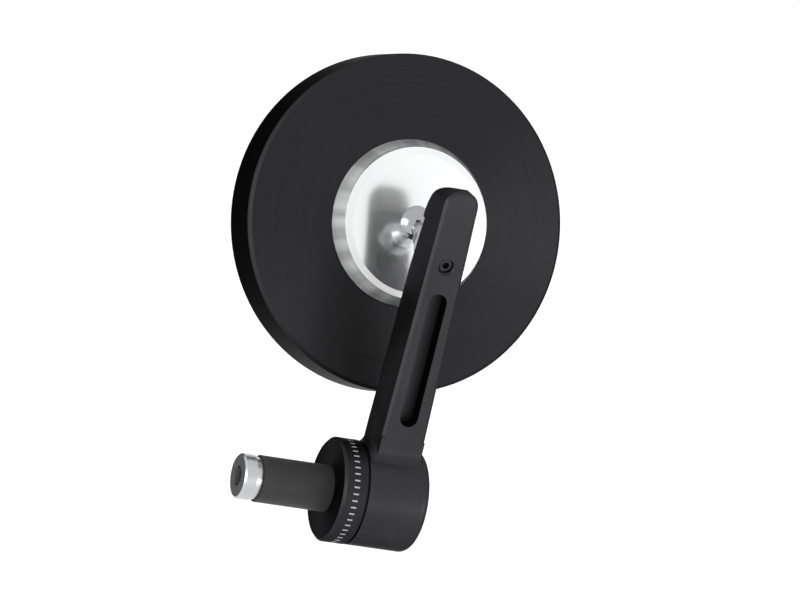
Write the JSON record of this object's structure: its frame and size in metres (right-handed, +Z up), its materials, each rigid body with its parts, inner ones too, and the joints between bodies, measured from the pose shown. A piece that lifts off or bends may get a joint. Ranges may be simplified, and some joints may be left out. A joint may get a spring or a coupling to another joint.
{
  "type": "motorcycle bar end mirror",
  "caption": "Round motorcycle mirror on a slim milled arm that clamps into the end of a handlebar tube; the head turns on a ball stud.",
  "frame": {"origin": "on the handlebar tube's axis, in the plane where the collar meets the tube's end", "axes": "+X outward along the handlebar, +Z up along the arm, -Y towards the front of the motorcycle, so the glass faces +Y"},
  "size_m": [0.1014, 0.0772, 0.1391],
  "materials": {
    "black_anodised": "satin black anodised over turning marks",
    "bright_aluminium": "turned and polished",
    "plain_aluminium": "plain sheet",
    "polished_steel": "polished stainless",
    "zinc_steel": "bright zinc",
    "black_steel": "black oxide",
    "sleeve_rubber": "matte",
    "friction_plastic": "matte",
    "seat_plastic": "smooth acetal",
    "foam_tape": "matte foam tape",
    "mirror_glass": "silvered glass"
  },
  "bodies": {
    "bar_side": {"plug_sleeve": "sleeve_rubber", "cone_nut": "zinc_steel", "collar_ring": "black_anodised", "friction_washer": "friction_plastic", "foot_bolt": "black_steel", "foot_washer": "zinc_steel", "foot_spring": "zinc_steel"},
    "arm_side": {"arm": "black_anodised", "ball_stud": "polished_steel", "stud_washer": "zinc_steel", "lock_screw": "black_steel"},
    "tilt_seat": {"seat_cup": "seat_plastic"},
    "turn_seat": {"seat_ring": "seat_plastic"},
    "head": {"pressure_plug": "zinc_steel", "socket_spring": "zinc_steel", "socket_retainer": "zinc_steel", "hub": "bright_aluminium", "hub_screws": "black_steel", "housing": "black_anodised", "backing_plate": "plain_aluminium", "plate_screws": "black_steel", "adhesive_pad": "foam_tape", "mirror_glass": "mirror_glass"}
  },
  "joints": [
    {"name": "arm_swing", "type": "hinge", "parent": "bar_side", "child": "arm_side", "pos_m": [0, 0, 0], "axis": [1, 0, 0], "continuous": true},
    {"name": "head_tilt", "type": "hinge", "parent": "arm_side", "child": "tilt_seat", "pos_m": [0.0173, 0.02676, 0.07728], "axis": [1, 0, 0], "range_deg": [-8, 42]},
    {"name": "head_turn", "type": "hinge", "parent": "tilt_seat", "child": "turn_seat", "pos_m": [0.0173, 0.02676, 0.07728], "axis": [0, 0.2924, 0.9563], "range_deg": [-22, 18]},
    {"name": "head_spin", "type": "hinge", "parent": "turn_seat", "child": "head", "pos_m": [0.0173, 0.02676, 0.07728], "axis": [0.0334, -0.9557, 0.2924], "continuous": true}
  ]
}
